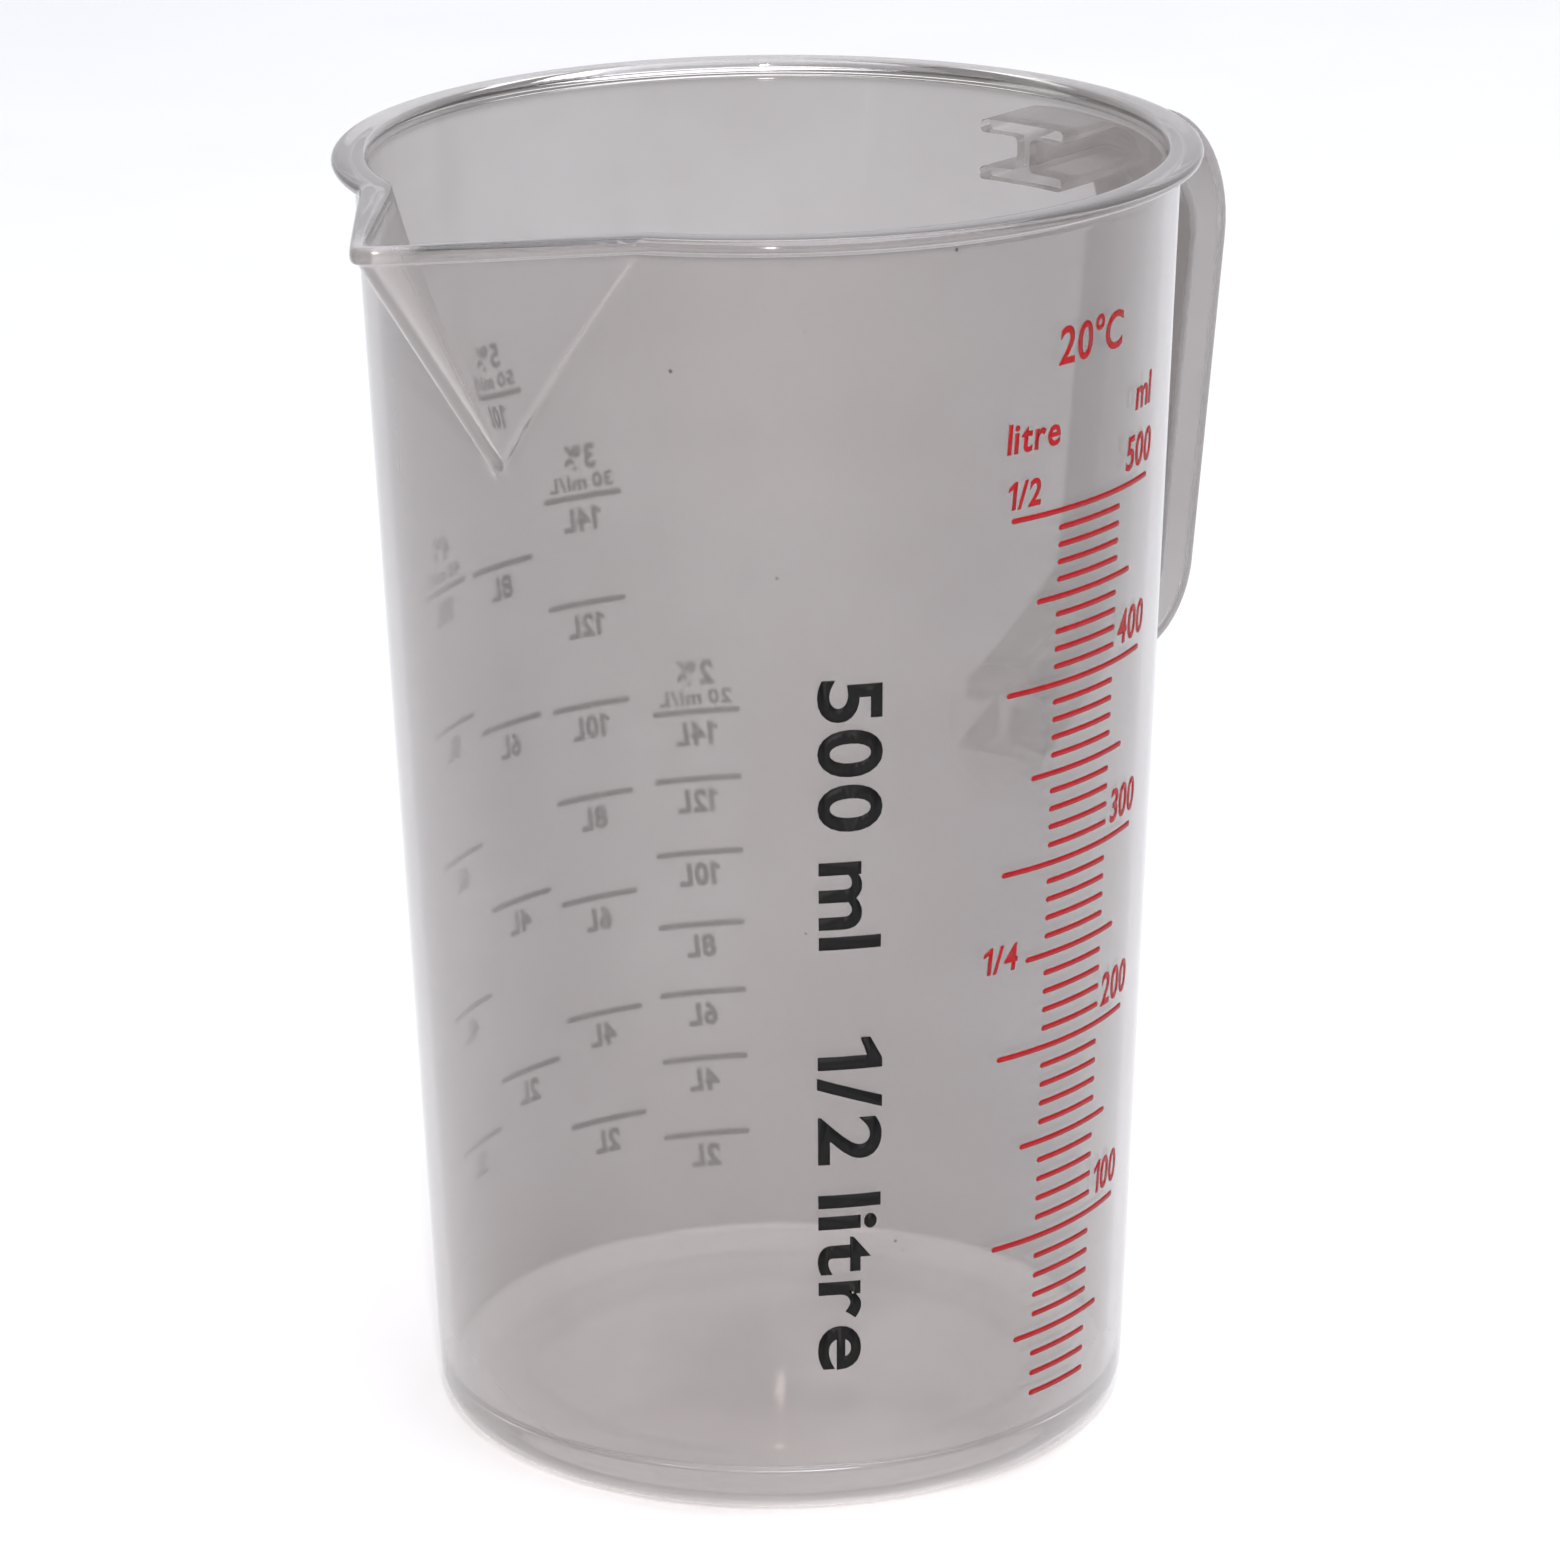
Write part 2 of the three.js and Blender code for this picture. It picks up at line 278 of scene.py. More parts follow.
def handle_path():
    """Middle line of the loop as (x, z, outward x, outward z), from the top arm to the lower arm."""
    middle = HANDLE_DEPTH / 2
    top_x = HANDLE_REACH - HANDLE_TOP_BEND
    top_z = HANDLE_TOP - HANDLE_TOP_BEND
    low_z = HANDLE_LOW_CENTRE
    change = HANDLE_TOP_BEND - HANDLE_LOW_BEND
    low_x = top_x + (change + (low_z - top_z) * math.sin(HANDLE_LEAN)) / math.cos(HANDLE_LEAN)
    lean = math.degrees(HANDLE_LEAN)
    arm_turn = math.degrees(HANDLE_ARM_SLOPE) - 90
    path = [(x, HANDLE_TOP - middle, 0, 1) for x in (44, 47, 50, 54)]
    bends = [
        (top_x, top_z, HANDLE_TOP_BEND, 90, -lean),
        (low_x, low_z, HANDLE_LOW_BEND, -lean, arm_turn),
    ]
    for x, z, bend, first, last in bends:
        for a, b in arc((0, 0), 1, first, last, 16):
            path.append((x + (bend - middle) * a, z + (bend - middle) * b, a, b))
    x, z, out_x, out_z = path[-1]
    return path + [(x - run, z - run * math.tan(HANDLE_ARM_SLOPE), out_x, out_z) for run in (3, 6, 9, 12)]


def meet_wall(x, z, across, slope):
    """Where a line of an arm, followed in towards the cup, reaches the middle of the wall."""
    for _ in range(5):
        gap = x - math.sqrt((outer_radius(z) - WALL / 2) ** 2 - across**2)
        x, z = x - gap, z - gap * math.tan(slope)
    return x, z


def handle_levels():
    section = i_section()
    path = handle_path()
    slopes = {0: 0, len(path) - 1: HANDLE_ARM_SLOPE}
    levels = []
    for i, (x, z, out_x, out_z) in enumerate(path):
        ring = []
        for across, out in section:
            at_x, at_z = x + out * out_x, z + out * out_z
            if i in slopes:
                at_x, at_z = meet_wall(at_x, at_z, across, slopes[i])
            ring.append(to_row(at_x, across, at_z))
        levels.append(ring)
    return levels


def fuse(body, other):
    """Joins another closed piece into a body, as one moulding."""
    join = body.modifiers.new("fused", "BOOLEAN")
    join.operation = "UNION"
    join.solver = "EXACT"
    join.object = other
    fused = bpy.data.meshes.new_from_object(body.evaluated_get(bpy.context.evaluated_depsgraph_get()))
    body.modifiers.clear()
    body.data = fused
    bpy.data.objects.remove(other)
    fused.shade_smooth()
    fused.set_sharp_from_angle(angle=math.radians(50))


moulding = stacked("cup_moulding", moulding_levels())
fuse(moulding, stacked("handle_loop", handle_levels()))

# Print: thin films of ink wrapped round the outer wall.

INK_LIFT = 0.02
INK_FILM = 0.03
WRAP_STEP = 0.8
FONT_CAPITAL = 0.69
FONT_STEM = 0.13
LETTER_GAP = 0.11
WORD_GAP = 0.34


def wrapped(name, flat, azimuth, z):
    """Flat mesh in millimetres, x round the wall and y up it, laid on the wall as a film of ink."""
    reach = max(abs(v.co.x) for v in flat.verts)
    cuts = int(reach / WRAP_STEP)
    for i in range(-cuts, cuts + 1):
        parts = flat.verts[:] + flat.edges[:] + flat.faces[:]
        bmesh.ops.bisect_plane(flat, geom=parts, plane_co=(i * WRAP_STEP, 0, 0), plane_no=(1, 0, 0))
    for v in flat.verts:
        height = z + v.co.y
        turn = azimuth + math.degrees(v.co.x / outer_radius(z))
        v.co = on_wall(turn, height, INK_LIFT + v.co.z)
    bmesh.ops.recalc_face_normals(flat, faces=flat.faces)
    return to_object(name, flat)


def film(outlines):
    """Flat closed film in millimetres from outlines of (x, y) points."""
    mesh = bmesh.new()
    for points in outlines:
        bottom = mesh.faces.new([mesh.verts.new((x, y, 0)) for x, y in points])
        grown = bmesh.ops.extrude_face_region(mesh, geom=[bottom], use_keep_orig=True)
        raised = [v for v in grown["geom"] if isinstance(v, bmesh.types.BMVert)]
        bmesh.ops.translate(mesh, verts=raised, vec=(0, 0, INK_FILM))
    return mesh


def bar(width, height):
    """Outline of a line with rounded ends, about its middle."""
    round_end = height / 2
    flat = width / 2 - round_end
    return arc((flat, 0), round_end, -90, 90, 6) + arc((-flat, 0), round_end, 90, 270, 6)


def font_glyph(character, size, slant, weight):
    """One character of Blender's own font as a flat film on its base line. Size is a capital's height."""
    curve = bpy.data.curves.new("lettering", "FONT")
    curve.body = character
    curve.shear = slant
    curve.offset = weight
    curve.size = size / FONT_CAPITAL
    curve.extrude = INK_FILM / 2
    curve.resolution_u = 5
    carrier = bpy.data.objects.new("lettering", curve)
    bpy.context.scene.collection.objects.link(carrier)
    data = bpy.data.meshes.new_from_object(carrier.evaluated_get(bpy.context.evaluated_depsgraph_get()))
    mesh = bmesh.new()
    mesh.from_mesh(data)
    bpy.data.objects.remove(carrier)
    bpy.data.curves.remove(curve)
    bpy.data.meshes.remove(data)
    bmesh.ops.remove_doubles(mesh, verts=mesh.verts, dist=1e-5)
    bmesh.ops.translate(mesh, verts=mesh.verts, vec=(0, 0, INK_FILM / 2))
    return mesh


def figure_one(size, slant, weight):
    """A 1 with a flag, which the font's own plain stroke lacks."""
    stem = FONT_STEM * size + 2 * weight
    low, high = -weight, size + weight
    flag, drop = 0.26 * size, 0.2 * size
    points = [(0, low), (stem, low), (stem, high), (0.3 * stem, high)]
    under = 0.85 * stem
    points += [(-flag, high - drop), (-flag, high - drop - under), (0, high - 0.45 * drop - under)]
    return film([[(x + slant * y, y) for x, y in points]])


def letters(text, size, condense=0.9, slant=0.0, weight=0.0, turn=0):
    """Flat film of lettering in millimetres, its middle at the origin. Size is a capital's height."""
    line = bmesh.new()
    edge = 0
    for character in text:
        if character == " ":
            edge += WORD_GAP * size
            continue
        if character == "1":
            mesh = figure_one(size, slant, weight)
        else:
            mesh = font_glyph(character, size, slant, weight)
        left = min(v.co.x - slant * v.co.y for v in mesh.verts)
        right = max(v.co.x - slant * v.co.y for v in mesh.verts)
        bmesh.ops.translate(mesh, verts=mesh.verts, vec=(edge - left, 0, 0))
        edge += right - left + LETTER_GAP * size
        data = bpy.data.meshes.new("character")
        mesh.to_mesh(data)
        line.from_mesh(data)
        bpy.data.meshes.remove(data)
    lows = [min(v.co[i] for v in line.verts) for i in range(2)]
    highs = [max(v.co[i] for v in line.verts) for i in range(2)]
    middle = [(low + high) / 2 for low, high in zip(lows, highs)]
    fit = Matrix.Rotation(math.radians(turn), 4, "Z") @ Matrix.Diagonal((condense, 1, 1, 1))
    fit = fit @ Matrix.Translation((-middle[0], -middle[1], 0))
    bmesh.ops.transform(line, matrix=fit, verts=line.verts)
    return line


def joined(name, pieces):
    """One object from several print pieces."""
    mesh = bmesh.new()
    for piece in pieces:
        mesh.from_mesh(piece.data)
        bpy.data.objects.remove(piece)
    return to_object(name, mesh)


SHORT_HALF = 7.3
MEDIUM_HALF = 11.2
LONG_HALF = 16.3
LINE_HEIGHT = 0.6
lines = []
numbers = []
for volume in range(20, 501, 10):
    z = fill_height(volume)
    half = SHORT_HALF
    if volume % 50 == 0:
        half = MEDIUM_HALF
    if volume % 100 == 0:
        half = LONG_HALF
        spot = SCALE_TURN + LONG_HALF - 3.1
        numbers.append(wrapped("number", letters(str(volume), 3.5, 0.84, 0.1, 0.1), spot, z + 3.3))
    width = 2 * math.radians(half) * outer_radius(z)
    lines.append(wrapped("line", film([bar(width, LINE_HEIGHT)]), SCALE_TURN, z))
for text, azimuth, z in [("1/2", -14, fill_height(500) + 2.7), ("1/4", -16, fill_height(250) + 0.9)]:
    numbers.append(wrapped("number", letters(text, 2.8, 0.85, 0.1, 0.11), SCALE_TURN + azimuth, z))
UNITS = [("litre", -12.5, 119.2, 3.1), ("ml", 13.9, 119.9, 3.4), ("20°C", -1.2, 128.2, 3.9)]
for text, azimuth, z, size in UNITS:
    numbers.append(wrapped("number", letters(text, size, 0.9, 0.06, 0.1), SCALE_TURN + azimuth, z))
scale_lines = joined("scale_lines", lines)
scale_numbers = joined("scale_numbers", numbers)

# Columns of the dosing table: percent, azimuth, and the height of each line for its litres.
DOSE_COLUMNS = [
    (2, 144.2, {14: 67.8, 12: 59.8, 10: 51.0, 8: 42.4, 6: 34.2, 4: 26.2, 2: 17.0}),
    (3, 163.0, {14: 94.6, 12: 82.2, 10: 70.2, 8: 59.4, 6: 47.4, 4: 33.5, 2: 20.6}),
    (5, 180.2, {10: 108.4, 8: 88.9, 6: 70.5, 4: 49.7, 2: 29.4}),
    (4, 196.8, {10: 89.0, 8: 73.2, 6: 57.9, 4: 40.1, 2: 24.0}),
]
doses = []
for percent, azimuth, marks in DOSE_COLUMNS:
    top = max(marks.values())
    doses.append(wrapped("dose", letters(f"{percent}%", 2.6, 0.9, 0.1, 0.16), azimuth, top + 4.6))
    doses.append(wrapped("dose", letters(f"{10 * percent} ml/L", 1.6, 1.1, 0.1, 0.1), azimuth, top + 1.7))
    for litres, z in marks.items():
        doses.append(wrapped("dose", film([bar(10.6, 0.7)]), azimuth, z))
        doses.append(wrapped("dose", letters(f"{litres}L", 2.5, 0.9, 0.1, 0.17), azimuth, z - 2.6))
dosing_table = joined("dosing_table", doses)

capacity = [wrapped("capacity", letters("500 ml", 6.4, 1.16, 0, 0.2, -90), -37.8, 80.6)]
capacity.append(wrapped("capacity", letters("1/2 litre", 6.4, 1.22, 0, 0.2, -90), -37.8, 36.7))
capacity_mark = joined("capacity_mark", capacity)

# Materials: milky plastic and two screen inks, each drawn by nodes from real sizes.


def linear(code):
    """sRGB hex colour to linear red, green, blue and full alpha."""
    parts = [int(code[i : i + 2], 16) / 255 for i in (1, 3, 5)]
    return [p / 12.92 if p <= 0.04045 else ((p + 0.055) / 1.055) ** 2.4 for p in parts] + [1]


def add_node(tree, kind, settings, links=None):
    """Adds a node, sets its properties and inputs, and links inputs to other nodes' outputs."""
    made = tree.nodes.new(kind)
    for key, value in settings.items():
        if isinstance(key, int) or key in made.inputs:
            made.inputs[key].default_value = value
        else:
            setattr(made, key, value)
    for key, source in (links or {}).items():
        tree.links.new(source, made.inputs[key])
    return made


def new_material(name):
    material = bpy.data.materials.new(name)
    material.use_nodes = True
    material.node_tree.nodes.clear()
    return material


def per_metre(size_mm):
    """Texture scale that gives a pattern about that size, on coordinates in metres."""
    return 1000 / size_mm


# Clearness of the plastic: the share of light that goes on through a surface, and what takes from it.
WALL_CLEARNESS = 0.84
FOOT_CLEARNESS = 0.62
FLOOR_CLEARNESS = 0.44
CLOUDING = 0.02
SLANT_MILK = 0.4
THICK_AND_HIGHLIGHT_MILK = 0.3

# Sizes of patterns and zones in the materials, in millimetres.
CLOUD_SIZE = 28
PEEL_SIZE = 3
SCUFF_SIZE = 1.6
FLECK_SIZE = 0.5
FLECK_SPACING = 12
FOOT_FADE = (3, 14)
HANDLE_GAP = 1.5
ARM_FADE = (8, 12)
KEEL_BAND = (1.5, 5)
CREASE_LINE = (0.1, 0.5)
ROOT_PATCH = (4, 11)
COVER_SIZE = 0.7
MOTTLE_SIZE = 60


def handle_zones(tree, along):
    """Where the handle is, and where its two arms are near the wall."""
    start = to_row(MOUTH_RADIUS + HANDLE_GAP, 0, 0)[0]
    handle = add_node(
        tree,
        "ShaderNodeMapRange",
        {"From Min": start, "From Max": start + MM},
        {"Value": along.outputs["X"]},
    )
    near, far = [start + reach * MM for reach in ARM_FADE]
    near_wall = add_node(
        tree,
        "ShaderNodeMapRange",
        {"From Min": near, "From Max": far, "To Min": 1, "To Max": 0},
        {"Value": along.outputs["X"]},
    )
    arms = add_node(
        tree,
        "ShaderNodeMath",
        {"operation": "MULTIPLY"},
        {0: handle.outputs["Result"], 1: near_wall.outputs["Result"]},
    )
    return handle.outputs["Result"], arms.outputs["Value"]


def floor_zone(tree, along, facing):
    """Where the moulding lies flat at the height of the floor."""
    upright = add_node(tree, "ShaderNodeMath", {"operation": "ABSOLUTE"}, {0: facing.outputs["Z"]})
    lying = add_node(
        tree,
        "ShaderNodeMapRange",
        {"From Min": 0.4, "From Max": 0.8},
        {"Value": upright.outputs["Value"]},
    )
    low = add_node(
        tree,
        "ShaderNodeMapRange",
        {"From Min": (FLOOR_TOP + 0.5) * MM, "From Max": (FLOOR_TOP + 3) * MM, "To Min": 1, "To Max": 0},
        {"Value": along.outputs["Z"]},
    )
    ground = add_node(
        tree,
        "ShaderNodeMath",
        {"operation": "MULTIPLY"},
        {0: lying.outputs["Result"], 1: low.outputs["Result"]},
    )
    return ground.outputs["Value"]


def keel_zone(tree, where, along):
    """Band along the keel of the spout, narrow at the nose and widest at the mouth."""
    lean = (KEEL_REACH[1] - KEEL_REACH[0]) / (CUP_HEIGHT - SPOUT_NOSE_HEIGHT)
    start = lean * SPOUT_NOSE_HEIGHT - KEEL_REACH[0] + AXIS_X
    leaning = add_node(
        tree, "ShaderNodeVectorMath", {"operation": "DOT_PRODUCT", 1: (1, 0, lean)}, {0: where}
    )
    behind = add_node(
        tree,
        "ShaderNodeMath",
        {"operation": "SUBTRACT", 1: start * MM},
        {0: leaning.outputs["Value"]},
    )
    off_keel = add_node(
        tree, "ShaderNodeCombineXYZ", {}, {0: behind.outputs["Value"], 1: along.outputs["Y"]}
    )
    distance = add_node(
        tree, "ShaderNodeVectorMath", {"operation": "LENGTH"}, {0: off_keel.outputs["Vector"]}
    )
    width = add_node(
        tree,
        "ShaderNodeMapRange",
        {
            "From Min": (SPOUT_NOSE_HEIGHT - 2) * MM,
            "From Max": CUP_HEIGHT * MM,
            "To Min": KEEL_BAND[0] * MM,
            "To Max": KEEL_BAND[1] * MM,
        },
        {"Value": along.outputs["Z"]},
    )
    share = add_node(
        tree,
        "ShaderNodeMath",
        {"operation": "DIVIDE"},
        {0: distance.outputs["Value"], 1: width.outputs["Result"]},
    )
    near_keel = add_node(
        tree,
        "ShaderNodeMapRange",
        {"From Min": 0.5, "From Max": 1.3, "To Min": 1, "To Max": 0},
        {"Value": share.outputs["Value"]},
    )
    above_nose = add_node(
        tree,
        "ShaderNodeMapRange",
        {"From Min": (SPOUT_NOSE_HEIGHT - 0.5) * MM, "From Max": (SPOUT_NOSE_HEIGHT + 2) * MM},
        {"Value": along.outputs["Z"]},
    )
    band = add_node(
        tree,
        "ShaderNodeMath",
        {"operation": "MULTIPLY"},
        {0: near_keel.outputs["Result"], 1: above_nose.outputs["Result"]},
    )
    return band.outputs["Value"]


def crease_zone(tree, along):
    """Painted highlights: thin lines made milkier, so they show bright, where the two faces of the spout
    meet the round wall, up to the bead.
    """
    aside = add_node(tree, "ShaderNodeMath", {"operation": "ABSOLUTE"}, {0: along.outputs["Y"]})
    crease = add_node(
        tree,
        "ShaderNodeMapRange",
        {
            "clamp": False,
            "From Min": SPOUT_NOSE_HEIGHT * MM,
            "From Max": CUP_HEIGHT * MM,
            "To Min": 0,
            "To Max": fold_width(*spout_plan(CUP_HEIGHT, 0)) * MM,
        },
        {"Value": along.outputs["Z"]},
    )
    beside = add_node(
        tree,
        "ShaderNodeMath",
        {"operation": "SUBTRACT"},
        {0: aside.outputs["Value"], 1: crease.outputs["Result"]},
    )
    off_crease = add_node(tree, "ShaderNodeMath", {"operation": "ABSOLUTE"}, {0: beside.outputs["Value"]})
    # Painted highlight: the line is made milkier so that it shows bright.
    highlight_line = add_node(
        tree,
        "ShaderNodeMapRange",
        {"From Min": CREASE_LINE[0] * MM, "From Max": CREASE_LINE[1] * MM, "To Min": 0.6, "To Max": 0},
        {"Value": off_crease.outputs["Value"]},
    )
    spout_side = add_node(
        tree,
        "ShaderNodeMapRange",
        {"From Min": -35 * MM, "From Max": -34 * MM, "To Min": 1, "To Max": 0},
        {"Value": along.outputs["X"]},
    )
    bead_low, bead_high = (CUP_HEIGHT - 3.2) * MM, (CUP_HEIGHT - 2.2) * MM
    under_bead = add_node(
        tree,
        "ShaderNodeMapRange",
        {"From Min": bead_low, "From Max": bead_high, "To Min": 1, "To Max": 0},
        {"Value": along.outputs["Z"]},
    )
    on_spout = add_node(
        tree,
        "ShaderNodeMath",
        {"operation": "MULTIPLY"},
        {0: spout_side.outputs["Result"], 1: under_bead.outputs["Result"]},
    )
    creased = add_node(
        tree,
        "ShaderNodeMath",
        {"operation": "MULTIPLY"},
        {0: highlight_line.outputs["Result"], 1: on_spout.outputs["Value"]},
    )
    return creased.outputs["Value"]


def root_zone(tree, where, facing):
    """Patch inside the cup where the handle's lower arm meets the wall."""
    root_x, root_z = meet_wall(*handle_path()[-1][:2], 0, HANDLE_ARM_SLOPE)
    off_root = add_node(
        tree, "ShaderNodeVectorMath", {"operation": "DISTANCE", 1: to_row(root_x, 0, root_z)}, {0: where}
    )
    by_root = add_node(
        tree,
        "ShaderNodeMapRange",
        {
            "interpolation_type": "SMOOTHSTEP",
            "From Min": ROOT_PATCH[0] * MM,
            "From Max": ROOT_PATCH[1] * MM,
            "To Min": 1.2,
            "To Max": 0,
        },
        {"Value": off_root.outputs["Value"]},
    )
    inward = add_node(
        tree,
        "ShaderNodeMapRange",
        {"From Min": -0.5, "From Max": 0, "To Min": 1, "To Max": 0},
        {"Value": facing.outputs["X"]},
    )
    patch = add_node(
        tree,
        "ShaderNodeMath",
        {"operation": "MULTIPLY"},
        {0: by_root.outputs["Result"], 1: inward.outputs["Result"]},
    )
    return patch.outputs["Value"]


def moulded_polypropylene():
    # Natural polypropylene, moulded in a polished tool: milky, so what is behind it blurs, with a soft
    # gloss, faint clouding where the melt flowed, a very fine orange peel, light scuffs and a few dark
    # flecks. Light scatters where it enters the plastic, and what gets in leaves again freely, but the
    # thick handle and the spout's keel scatter it once more on the way out. The floor's satin tool face
    # is milkier than the wall, and so are the places where the plastic runs thick. Painted light: the
    # floor and the wall where the handle's arms meet it are painted paler, and thin milkier lines along
    # each crease of the spout are painted highlights.
    material = new_material("moulded_polypropylene")
    tree = material.node_tree
    place = add_node(tree, "ShaderNodeTexCoord", {})
    where = place.outputs["Object"]
    along = add_node(tree, "ShaderNodeSeparateXYZ", {}, {"Vector": where})
    side = add_node(tree, "ShaderNodeNewGeometry", {})
    facing = add_node(tree, "ShaderNodeSeparateXYZ", {}, {"Vector": side.outputs["Normal"]})
    handle, arms = handle_zones(tree, along)
    ground = floor_zone(tree, along, facing)
    keel = keel_zone(tree, where, along)
    crease_highlights = crease_zone(tree, along)
    low_root = root_zone(tree, where, facing)

    # Colour: clouded grey with dark flecks, and painted light: paler where the handle's arms meet the
    # wall, to lift their shade, and paler on the floor, where more light falls.
    cloud = add_node(
        tree, "ShaderNodeTexNoise", {"Scale": per_metre(CLOUD_SIZE), "Detail": 3}, {"Vector": where}
    )
    # Painted light: the arms' roots and the floor are pushed up the ramp to its palest stop.
    pale = add_node(tree, "ShaderNodeMath", {"operation": "MAXIMUM"}, {0: arms, 1: ground})
    cloud_and_painted_light = add_node(
        tree,
        "ShaderNodeMath",
        {"operation": "MULTIPLY_ADD", 1: 0.5},
        {0: pale.outputs["Value"], 2: cloud.outputs["Fac"]},
    )
    tint = add_node(tree, "ShaderNodeValToRGB", {}, {"Fac": cloud_and_painted_light.outputs["Value"]})
    tint.color_ramp.elements[0].position = 0.3
    tint.color_ramp.elements[0].color = linear("#bbb7b6")
    tint.color_ramp.elements[1].position = 0.7
    tint.color_ramp.elements[1].color = linear("#c4c1c0")
    # Palest stop: the painted light of the arms' roots and the floor.
    tint.color_ramp.elements.new(1).color = linear("#e4e2e1")
    grains = add_node(tree, "ShaderNodeTexVoronoi", {"Scale": per_metre(FLECK_SPACING)}, {"Vector": where})
    reach = FLECK_SIZE / 2 / FLECK_SPACING
    fleck = add_node(
        tree,
        "ShaderNodeMapRange",
        {"From Min": 0.7 * reach, "From Max": reach, "To Min": 1, "To Max": 0},
        {"Value": grains.outputs["Distance"]},
    )
    flecked = add_node(
        tree,
        "ShaderNodeMix",
        {"data_type": "RGBA", 7: linear("#3d352e")},
        {0: fleck.outputs["Result"], 6: tint.outputs["Color"]},
    )

    # Polish: scuffed a little, and rough where light leaves the thick handle or the keel.
    streak = add_node(
        tree, "ShaderNodeMapping", {"Rotation": (0.5, 0.2, 0), "Scale": (1, 1, 0.08)}, {"Vector": where}
    )
    scuff = add_node(
        tree,
        "ShaderNodeTexNoise",
        {"Scale": per_metre(SCUFF_SIZE), "Detail": 1},
        {"Vector": streak.outputs["Vector"]},
    )
    polish = add_node(
        tree,
        "ShaderNodeMapRange",
        {"From Min": 0.55, "From Max": 0.75, "To Min": 0.04, "To Max": 0.065},
        {"Value": scuff.outputs["Fac"]},
    )
    deep = add_node(tree, "ShaderNodeMath", {"operation": "MAXIMUM"}, {0: handle, 1: keel})
    scatter = add_node(
        tree,
        "ShaderNodeMath",
        {"operation": "MULTIPLY"},
        {0: deep.outputs["Value"], 1: side.outputs["Backfacing"]},
    )
    rough = add_node(
        tree,
        "ShaderNodeMath",
        {"operation": "MULTIPLY_ADD", 1: 0.55},
        {0: scatter.outputs["Value"], 2: polish.outputs["Result"]},
    )
    peel = add_node(
        tree, "ShaderNodeTexNoise", {"Scale": per_metre(PEEL_SIZE), "Detail": 0}, {"Vector": where}
    )
    bump = add_node(
        tree, "ShaderNodeBump", {"Strength": 0.02, "Distance": 0.00005}, {"Height": peel.outputs["Fac"]}
    )

    # Clearness: clouded, lower in the foot, the floor and the thick places, and in thin painted highlight
    # lines along each crease of the spout.
    haze = add_node(
        tree,
        "ShaderNodeMapRange",
        {
            "From Min": 0.3,
            "From Max": 0.7,
            "To Min": WALL_CLEARNESS - CLOUDING,
            "To Max": WALL_CLEARNESS + CLOUDING,
        },
        {"Value": cloud.outputs["Fac"]},
    )
    foot = add_node(
        tree,
        "ShaderNodeMapRange",
        {
            "interpolation_type": "SMOOTHSTEP",
            "From Min": FOOT_FADE[0] * MM,
            "From Max": FOOT_FADE[1] * MM,
            "To Min": 1,
            "To Max": 0,
        },
        {"Value": along.outputs["Z"]},
    )
    wall_skin = add_node(
        tree,
        "ShaderNodeMath",
        {"operation": "MULTIPLY_ADD", 1: FOOT_CLEARNESS - WALL_CLEARNESS},
        {0: foot.outputs["Result"], 2: haze.outputs["Result"]},
    )
    skin = add_node(
        tree,
        "ShaderNodeMath",
        {"operation": "MULTIPLY_ADD", 1: FLOOR_CLEARNESS - FOOT_CLEARNESS},
        {0: ground, 2: wall_skin.outputs["Value"]},
    )
    # The keel and the root are thick places; the crease lines are painted highlights.
    folds = add_node(tree, "ShaderNodeMath", {"operation": "MAXIMUM"}, {0: keel, 1: crease_highlights})
    thick_places_and_highlights = add_node(
        tree, "ShaderNodeMath", {"operation": "MAXIMUM"}, {0: folds.outputs["Value"], 1: low_root}
    )
    folded = add_node(
        tree,
        "ShaderNodeMath",
        {"operation": "MULTIPLY_ADD", 1: -THICK_AND_HIGHLIGHT_MILK},
        {0: thick_places_and_highlights.outputs["Value"], 2: skin.outputs["Value"]},
    )
    # A slanting way through the wall is longer and scatters more.
    slant = add_node(tree, "ShaderNodeLayerWeight", {"Blend": 0.5})
    longer = add_node(
        tree,
        "ShaderNodeMapRange",
        {"From Min": 0.3, "From Max": 0.9, "To Min": 0, "To Max": SLANT_MILK},
        {"Value": slant.outputs["Facing"]},
    )
    milky = add_node(
        tree,
        "ShaderNodeMath",
        {"operation": "SUBTRACT"},
        {0: folded.outputs["Value"], 1: longer.outputs["Result"]},
    )
    clear = add_node(
        tree,
        "ShaderNodeMath",
        {"operation": "MAXIMUM"},
        {0: milky.outputs["Value"], 1: side.outputs["Backfacing"]},
    )
    shader = add_node(
        tree,
        "ShaderNodeBsdfPrincipled",
        {"IOR": 1.49},
        {
            "Base Color": flecked.outputs[2],
            "Transmission Weight": clear.outputs["Value"],
            "Roughness": rough.outputs["Value"],
            "Normal": bump.outputs["Normal"],
        },
    )
    # Shadows of so thin and clear a wall are pale: a lamp's light goes on through it, weakened.
    ray = add_node(tree, "ShaderNodeLightPath", {})
    onward = add_node(tree, "ShaderNodeBsdfTransparent", {"Color": linear("#d2d0ce")})
    surface = add_node(
        tree,
        "ShaderNodeMixShader",
        {},
        {0: ray.outputs["Is Shadow Ray"], 1: shader.outputs["BSDF"], 2: onward.outputs["BSDF"]},
    )
    add_node(tree, "ShaderNodeOutputMaterial", {}, {"Surface": surface.outputs["Shader"]})
    return material


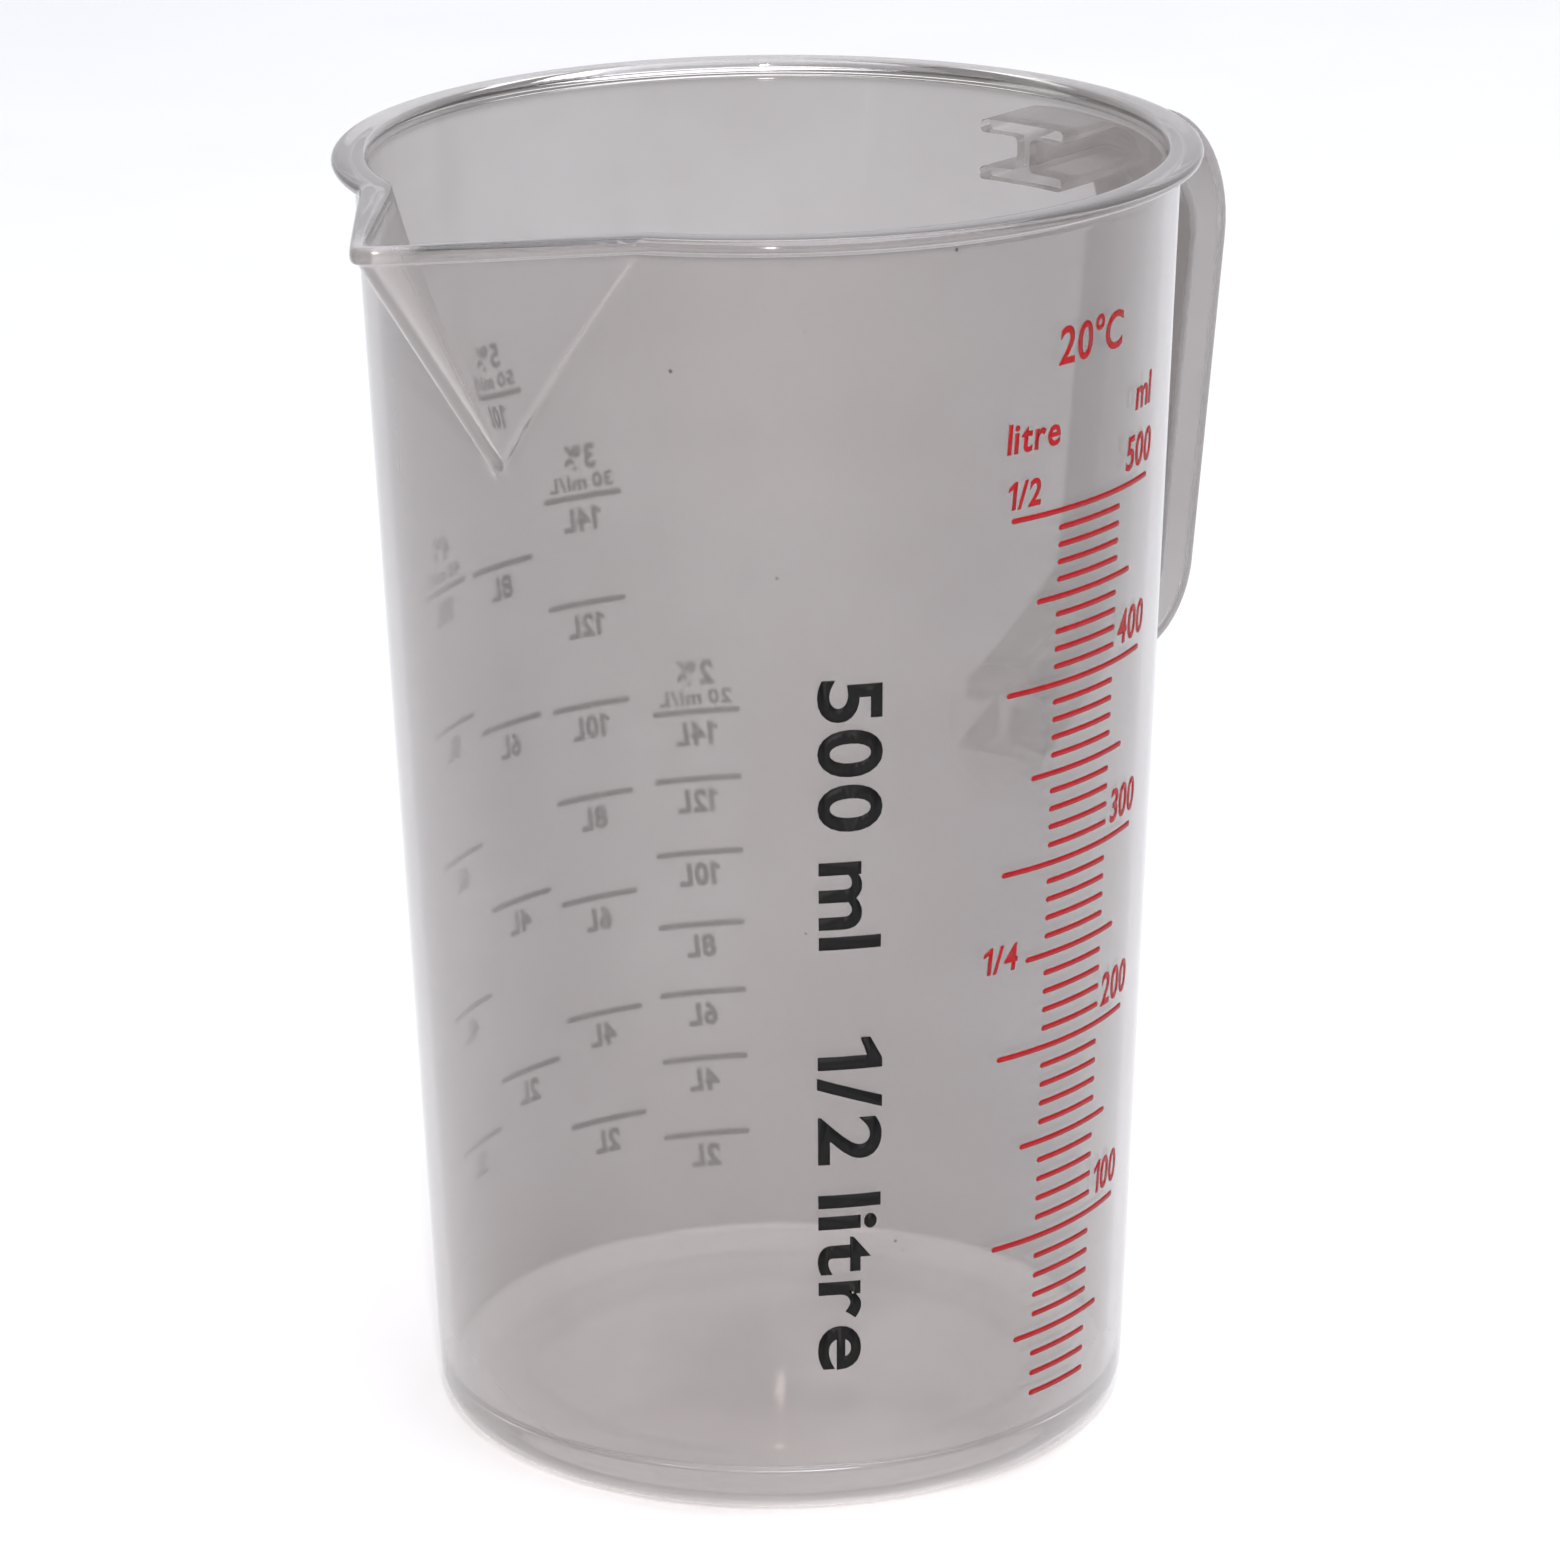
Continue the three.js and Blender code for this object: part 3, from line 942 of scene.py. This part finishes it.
def screen_ink(name, dark, light, roughness):
    # Screen-printed ink: a thin even film with a satin sheen and slightly uneven cover.
    material = new_material(name)
    tree = material.node_tree
    place = add_node(tree, "ShaderNodeTexCoord", {})
    cover = add_node(
        tree,
        "ShaderNodeTexNoise",
        {"Scale": per_metre(COVER_SIZE), "Detail": 3},
        {"Vector": place.outputs["Object"]},
    )
    tint = add_node(tree, "ShaderNodeValToRGB", {}, {"Fac": cover.outputs["Fac"]})
    tint.color_ramp.elements[0].position = 0.35
    tint.color_ramp.elements[0].color = linear(dark)
    tint.color_ramp.elements[1].position = 0.65
    tint.color_ramp.elements[1].color = linear(light)
    bump = add_node(
        tree, "ShaderNodeBump", {"Strength": 0.15, "Distance": 0.00005}, {"Height": cover.outputs["Fac"]}
    )
    shader = add_node(
        tree,
        "ShaderNodeBsdfPrincipled",
        {"Roughness": roughness, "IOR": 1.5, "Specular IOR Level": 0.2},
        {"Base Color": tint.outputs["Color"], "Normal": bump.outputs["Normal"]},
    )
    add_node(tree, "ShaderNodeOutputMaterial", {}, {"Surface": shader.outputs["BSDF"]})
    return material


def painted_board():
    # Matt painted studio board: pale, with a faint mottle.
    material = new_material("painted_board")
    tree = material.node_tree
    place = add_node(tree, "ShaderNodeTexCoord", {})
    mottle = add_node(
        tree,
        "ShaderNodeTexNoise",
        {"Scale": per_metre(MOTTLE_SIZE), "Detail": 2},
        {"Vector": place.outputs["Object"]},
    )
    tint = add_node(tree, "ShaderNodeValToRGB", {}, {"Fac": mottle.outputs["Fac"]})
    tint.color_ramp.elements[0].color = linear("#f4f4f4")
    tint.color_ramp.elements[1].color = linear("#fafafa")
    shader = add_node(
        tree, "ShaderNodeBsdfPrincipled", {"Roughness": 0.9}, {"Base Color": tint.outputs["Color"]}
    )
    add_node(tree, "ShaderNodeOutputMaterial", {}, {"Surface": shader.outputs["BSDF"]})
    return material


red_ink = screen_ink("red_screen_ink", "#930b13", "#a41019", 0.42)
black_ink = screen_ink("black_screen_ink", "#050506", "#0a0a0b", 0.5)
plastic = moulded_polypropylene()

line_nodes = [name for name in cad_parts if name.startswith("line_")]
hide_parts("cup_shell", "handle")
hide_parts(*line_nodes)
dressing = [
    (moulding, plastic, "polypropylene"),
    (scale_lines, red_ink, "red_ink"),
    (scale_numbers, red_ink, "red_ink"),
    (dosing_table, black_ink, "black_ink"),
    (capacity_mark, black_ink, "black_ink"),
]
for piece, material, slot in dressing:
    piece.data.materials.clear()
    piece.data.materials.append(material)
    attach(piece, "root")

# Stage: a pale board that curves up behind the cup.


def studio_board():
    mesh = bmesh.new()
    half, front, back, bend = 3.0, -3.0, 1.6, 0.8
    profile = [(front, 0)] + arc((back, bend), bend, -90, 0, 16) + [(back + bend, 3.0)]
    rows = [[mesh.verts.new((side, y, z)) for side in (-half, half)] for y, z in profile]
    for low, high in zip(rows, rows[1:]):
        mesh.faces.new((low[0], low[1], high[1], high[0]))
    return to_object("studio_board", mesh)


CAMERA_AZIMUTH = -48.7
board = studio_board()
board.rotation_euler.z = math.radians(CAMERA_AZIMUTH)
board.data.materials.append(painted_board())

# Camera, fitted to the photograph: millimetres from the middle of the cup's foot, and degrees.
CAMERA_DISTANCE = 747.1
CAMERA_HEIGHT = 307.4
CAMERA_PITCH = 17.511
CAMERA_YAW = 0.048
CAMERA_ROLL = -0.622
CAMERA_LENS = 165.06

camera = bpy.data.objects.new("camera", bpy.data.cameras.new("camera"))
bpy.context.scene.collection.objects.link(camera)
camera.data.lens = CAMERA_LENS
camera.data.sensor_width = 36
camera.data.clip_start = 0.05
turn = math.radians(CAMERA_AZIMUTH)
stand = to_row(CAMERA_DISTANCE * math.sin(turn), -CAMERA_DISTANCE * math.cos(turn), CAMERA_HEIGHT)
aim = Matrix.Rotation(math.radians(CAMERA_AZIMUTH - CAMERA_YAW), 4, "Z")
aim = aim @ Matrix.Rotation(math.radians(90 - CAMERA_PITCH), 4, "X")
aim = aim @ Matrix.Rotation(math.radians(CAMERA_ROLL), 4, "Z")
camera.matrix_world = Matrix.Translation(stand) @ aim
bpy.context.scene.camera = camera
bpy.context.scene.view_settings.view_transform = "Standard"

# Light: a soft box overhead, a small lamp above the camera, a light on the board behind and a pale room.


def area_light(name, azimuth, distance, height, size, power, colour, ahead=0.0):
    """Lamp in metres about the cup, aimed at a point that far out on its own side, or at the cup."""
    light = bpy.data.lights.new(name, "AREA")
    light.shape = "RECTANGLE"
    light.size, light.size_y = size
    light.energy = power
    light.color = linear(colour)[:3]
    made = bpy.data.objects.new(name, light)
    bpy.context.scene.collection.objects.link(made)
    way = math.radians(CAMERA_AZIMUTH + azimuth)
    made.location = (distance * math.sin(way), -distance * math.cos(way), height)
    target = Vector((ahead * math.sin(way), -ahead * math.cos(way), 0.07))
    made.rotation_euler = (target - made.location).to_track_quat("-Z", "Y").to_euler()
    return made


area_light("soft_box", 50, 0.4, 1.8, (1.7, 1.7), 32, "#f4f6ff")
area_light("front_lamp", 0, 0.745, 0.48, (0.04, 0.02), 4.2, "#fff8f4")
area_light("board_light", 180, 0.85, 1.2, (0.9, 0.5), 3.3, "#ffffff", 1.25)

world = bpy.data.worlds.new("pale_room")
bpy.context.scene.world = world
world.use_nodes = True
world.node_tree.nodes["Background"].inputs["Color"].default_value = linear("#f2f2f4")
world.node_tree.nodes["Background"].inputs["Strength"].default_value = 0.32
